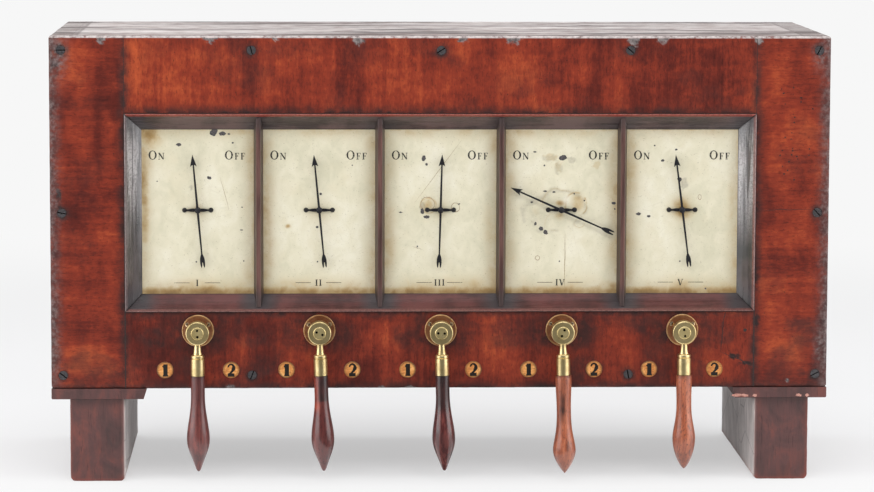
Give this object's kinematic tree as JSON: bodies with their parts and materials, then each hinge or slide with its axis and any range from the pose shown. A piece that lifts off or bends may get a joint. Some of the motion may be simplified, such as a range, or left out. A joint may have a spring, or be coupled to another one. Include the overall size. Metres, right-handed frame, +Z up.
{
  "type": "railway signalling instrument",
  "caption": "Wide wooden signalling instrument: needle dials side by side in a framed window, a hanging drop handle under each dial to send signals, on two block feet.",
  "frame": {"origin": "middle of the bounding box on the surface that the feet stand on", "axes": "+Z up, the dials face -Y, +X to the right as seen from the front"},
  "size_m": [0.914, 0.3698, 0.5249],
  "materials": {
    "mahogany_veneer": "French-polished veneer, worn",
    "dark_moulding": "dark polished, worn",
    "weathered_case": "dull, weathered",
    "foot_wood": "dull, worn edges",
    "dial_paint": "aged cream paint, stained",
    "black_iron": "blackened",
    "brass": "polished, aged",
    "boxwood": "inlaid, varnished",
    "grip_dark": "turned and polished",
    "grip_light": "turned, worn",
    "spindle_steel": "turned",
    "coil_wire": "silk covering"
  },
  "bodies": {
    "case": {"top_board": "weathered_case", "bottom_board": "weathered_case", "side_board_left": "weathered_case", "side_board_right": "weathered_case", "back_board": "weathered_case", "front_stile_left": "mahogany_veneer", "front_stile_right": "mahogany_veneer", "front_top_rail": "mahogany_veneer", "front_bottom_rail": "mahogany_veneer", "front_screws": "black_iron", "moulding_top": "dark_moulding", "moulding_bottom": "dark_moulding", "moulding_left": "dark_moulding", "moulding_right": "dark_moulding", "window_bars": "dark_moulding", "dial_board": "weathered_case", "dial_plates": "dial_paint", "pivot_bridges": "black_iron", "coil_frames": "brass", "coil_windings": "coil_wire", "rose_plates": "brass", "rose_screws": "brass", "label_discs": "boxwood", "spindle_rail": "weathered_case", "contact_springs": "brass", "terminal_posts": "brass", "foot_caps": "foot_wood", "foot_left": "foot_wood", "foot_right": "foot_wood"},
    "needle_1": {"pointer_1": "black_iron", "pointer_spindle_1": "spindle_steel"},
    "handle_1": {"handle_arm_1": "brass", "handle_grip_1": "grip_dark", "handle_nut_1": "brass", "commutator_1": "spindle_steel"},
    "needle_2": {"pointer_2": "black_iron", "pointer_spindle_2": "spindle_steel"},
    "handle_2": {"handle_arm_2": "brass", "handle_grip_2": "grip_dark", "handle_nut_2": "brass", "commutator_2": "spindle_steel"},
    "needle_3": {"pointer_3": "black_iron", "pointer_spindle_3": "spindle_steel"},
    "handle_3": {"handle_arm_3": "brass", "handle_grip_3": "grip_dark", "handle_nut_3": "brass", "commutator_3": "spindle_steel"},
    "needle_4": {"pointer_4": "black_iron", "pointer_spindle_4": "spindle_steel"},
    "handle_4": {"handle_arm_4": "brass", "handle_grip_4": "grip_light", "handle_nut_4": "brass", "commutator_4": "spindle_steel"},
    "needle_5": {"pointer_5": "black_iron", "pointer_spindle_5": "spindle_steel"},
    "handle_5": {"handle_arm_5": "brass", "handle_grip_5": "grip_light", "handle_nut_5": "brass", "commutator_5": "spindle_steel"}
  },
  "joints": [
    {"name": "needle_1_swing", "type": "hinge", "parent": "case", "child": "needle_1", "pos_m": [-0.28492, -0.14805, 0.3194], "axis": [0, 1, 0], "range_deg": [-61.8, 72.2]},
    {"name": "handle_1_turn", "type": "hinge", "parent": "case", "child": "handle_1", "pos_m": [-0.28492, -0.14805, 0.1789], "axis": [0, 1, 0], "range_deg": [-23.7, 24.3]},
    {"name": "needle_2_swing", "type": "hinge", "parent": "case", "child": "needle_2", "pos_m": [-0.14246, -0.14805, 0.3194], "axis": [0, 1, 0], "range_deg": [-61.5, 72.5]},
    {"name": "handle_2_turn", "type": "hinge", "parent": "case", "child": "handle_2", "pos_m": [-0.14246, -0.14805, 0.1789], "axis": [0, 1, 0], "range_deg": [-22.2, 25.8]},
    {"name": "needle_3_swing", "type": "hinge", "parent": "case", "child": "needle_3", "pos_m": [0, -0.14805, 0.3194], "axis": [0, 1, 0], "range_deg": [-68.5, 65.5]},
    {"name": "handle_3_turn", "type": "hinge", "parent": "case", "child": "handle_3", "pos_m": [0, -0.14805, 0.1789], "axis": [0, 1, 0], "range_deg": [-22.5, 25.5]},
    {"name": "needle_4_swing", "type": "hinge", "parent": "case", "child": "needle_4", "pos_m": [0.14246, -0.14805, 0.3194], "axis": [0, 1, 0], "range_deg": [-1, 133]},
    {"name": "handle_4_turn", "type": "hinge", "parent": "case", "child": "handle_4", "pos_m": [0.14246, -0.14805, 0.1789], "axis": [0, 1, 0], "range_deg": [-22.9, 25.1]},
    {"name": "needle_5_swing", "type": "hinge", "parent": "case", "child": "needle_5", "pos_m": [0.28492, -0.14805, 0.3194], "axis": [0, 1, 0], "range_deg": [-59.6, 74.4]},
    {"name": "handle_5_turn", "type": "hinge", "parent": "case", "child": "handle_5", "pos_m": [0.28492, -0.14805, 0.1789], "axis": [0, 1, 0], "range_deg": [-23.6, 24.4]}
  ]
}
